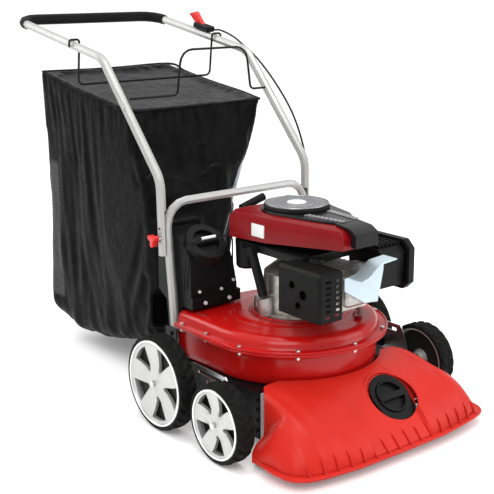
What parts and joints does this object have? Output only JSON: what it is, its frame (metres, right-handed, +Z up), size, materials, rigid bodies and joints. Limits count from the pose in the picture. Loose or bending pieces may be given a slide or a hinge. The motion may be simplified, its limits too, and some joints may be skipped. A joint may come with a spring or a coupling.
{
  "type": "leaf vacuum mulcher",
  "caption": "Walk-behind leaf vacuum mulcher: wide floor nozzle, round impeller housing with a petrol engine on top, four spoked wheels, folding handle and fabric bag.",
  "frame": {"origin": "on the ground under the middle of the bounding box, machine standing on its wheels", "axes": "+Z up, -Y forward towards the nozzle, +Y back towards the handle, +X the operator's left"},
  "size_m": [0.769, 1.4638, 1.0395],
  "materials": {
    "red_steel": "gloss red paint",
    "orange_plastic": "bright orange-red moulding",
    "red_plastic": "gloss dark red",
    "tube": "silver-grey powder coat",
    "zinc": "zinc plated",
    "zinc_sheet": "bright zinc sheet",
    "steel": "machined",
    "dark_steel": "dark grey heatproof paint",
    "black_steel": "satin black",
    "cast_iron": "as cast",
    "aluminium": "die cast",
    "black_plastic": "fine texture",
    "grey_plastic": "cross-hatched",
    "rim": "silver-grey",
    "tyre": "matte",
    "rubber": "matte",
    "foam": "soft foam",
    "fabric": "black polyester"
  },
  "bodies": {
    "chassis": {"rear_axle": "zinc", "side_plate_left": "black_steel", "side_plate_right": "black_steel", "lower_frame": "tube", "knob_bolt_left": "zinc", "knob_bolt_right": "zinc", "clamp_bolt_left": "zinc", "clamp_bolt_right": "zinc", "lower_housing": "red_steel", "upper_housing": "red_steel", "nozzle": "orange_plastic", "nozzle_skid_left": "rubber", "nozzle_skid_right": "rubber", "port_flange": "black_plastic", "discharge_chute": "black_plastic", "bag": "fabric", "throttle_cable_lower": "rubber", "crankcase": "aluminium", "cylinder": "aluminium", "valve_cover": "aluminium", "spark_plug": "rubber", "engine_shroud": "red_plastic", "top_cover": "black_plastic", "recoil_screen": "grey_plastic", "fuel_tank": "black_plastic", "oil_tube": "black_plastic", "muffler": "dark_steel", "muffler_guard": "dark_steel", "heat_deflector": "zinc_sheet", "carburettor": "aluminium", "air_box": "black_plastic"},
    "rear_wheel_left": {"rear_rim_left": "rim", "rear_tyre_left": "tyre"},
    "rear_wheel_right": {"rear_rim_right": "rim", "rear_tyre_right": "tyre"},
    "front_wheel_left": {"front_rim_left": "rim", "front_tyre_left": "tyre"},
    "front_wheel_right": {"front_rim_right": "rim", "front_tyre_right": "tyre"},
    "front_cradle": {"front_cradle": "zinc"},
    "handle": {"upper_handle": "tube", "handle_grip": "foam", "hook_wire": "black_steel", "arch_wire": "black_steel", "throttle_housing": "black_plastic", "throttle_cable_upper": "rubber"},
    "throttle_lever": {"throttle_lever": "red_plastic"},
    "wing_knob_left": {"wing_knob_left": "red_plastic"},
    "wing_knob_right": {"wing_knob_right": "red_plastic"},
    "rotor": {"crankshaft": "steel", "flywheel": "cast_iron", "impeller": "steel"},
    "starter_grip": {"starter_grip": "rubber"},
    "recoil_pulley": {"recoil_pulley": "black_plastic"},
    "fuel_cap": {"fuel_cap": "black_plastic"},
    "oil_cap": {"oil_cap": "black_plastic"},
    "chute_cap": {"chute_cap": "black_plastic"},
    "wire_bail": {"wire_bail": "zinc"},
    "port_plug": {"port_plug": "black_plastic"},
    "air_cover": {"air_cover": "black_plastic"}
  },
  "joints": [
    {"name": "rear_left_spin", "type": "hinge", "parent": "chassis", "child": "rear_wheel_left", "pos_m": [0.353, -0.1894, 0.127], "axis": [1, 0, 0], "continuous": true},
    {"name": "rear_right_spin", "type": "hinge", "parent": "chassis", "child": "rear_wheel_right", "pos_m": [-0.353, -0.1894, 0.127], "axis": [1, 0, 0], "continuous": true},
    {"name": "nozzle_height", "type": "hinge", "parent": "chassis", "child": "front_cradle", "pos_m": [0, -0.1894, 0.127], "axis": [1, 0, 0], "range_deg": [0, 10]},
    {"name": "front_left_spin", "type": "hinge", "parent": "front_cradle", "child": "front_wheel_left", "pos_m": [0.353, -0.4494, 0.101], "axis": [1, 0, 0], "continuous": true},
    {"name": "front_right_spin", "type": "hinge", "parent": "front_cradle", "child": "front_wheel_right", "pos_m": [-0.353, -0.4494, 0.101], "axis": [1, 0, 0], "continuous": true},
    {"name": "handle_fold", "type": "hinge", "parent": "chassis", "child": "handle", "pos_m": [0, -0.0684, 0.472], "axis": [1, 0, 0], "range_deg": [0, 90]},
    {"name": "throttle_turn", "type": "hinge", "parent": "handle", "child": "throttle_lever", "pos_m": [0.254, 0.43516, 0.99712], "axis": [1, 0, 0], "range_deg": [-20, 25]},
    {"name": "wing_knob_left_turn", "type": "hinge", "parent": "handle", "child": "wing_knob_left", "pos_m": [0.267, -0.0684, 0.472], "axis": [1, 0, 0], "continuous": true},
    {"name": "wing_knob_right_turn", "type": "hinge", "parent": "handle", "child": "wing_knob_right", "pos_m": [-0.267, -0.0684, 0.472], "axis": [1, 0, 0], "continuous": true},
    {"name": "rotor_spin", "type": "hinge", "parent": "chassis", "child": "rotor", "pos_m": [0, -0.3154, 0.3], "axis": [0, 0, 1], "continuous": true},
    {"name": "starter_pull", "type": "slide", "parent": "chassis", "child": "starter_grip", "axis": [0, 1, 0], "range_m": [0, 0.055], "stiffness_N_per_m": 60, "springref_m": -0.05},
    {"name": "pulley_turn", "type": "hinge", "parent": "chassis", "child": "recoil_pulley", "pos_m": [0, -0.3154, 0.535], "axis": [0, 0, 1], "range_deg": [-75, 5]},
    {"name": "fuel_cap_turn", "type": "hinge", "parent": "chassis", "child": "fuel_cap", "pos_m": [0.066, -0.2069, 0.5565], "axis": [0, 0, 1], "range_deg": [0, 90]},
    {"name": "oil_cap_turn", "type": "hinge", "parent": "chassis", "child": "oil_cap", "pos_m": [-0.12, -0.2804, 0.448], "axis": [-0.1138, 0.2451, 0.9628], "range_deg": [0, 90]},
    {"name": "chute_cap_turn", "type": "hinge", "parent": "chassis", "child": "chute_cap", "pos_m": [-0.167, -0.1294, 0.45], "axis": [0, -0.6428, 0.766], "range_deg": [0, 60]},
    {"name": "bail_turn", "type": "hinge", "parent": "chassis", "child": "wire_bail", "pos_m": [0, -0.1244, 0.335], "axis": [1, 0, 0], "range_deg": [0, 6]},
    {"name": "port_plug_turn", "type": "hinge", "parent": "chassis", "child": "port_plug", "pos_m": [0.052, -0.6164, 0.112], "axis": [0, -0.6691, 0.7431], "range_deg": [0, 60]},
    {"name": "air_cover_turn", "type": "hinge", "parent": "chassis", "child": "air_cover", "pos_m": [0.196, -0.4644, 0.35], "axis": [0, 1, 0], "range_deg": [0, 60]}
  ],
  "couplings": [
    {"joint": "pulley_turn", "follows": "starter_pull", "rad_per_m": -23.364}
  ]
}
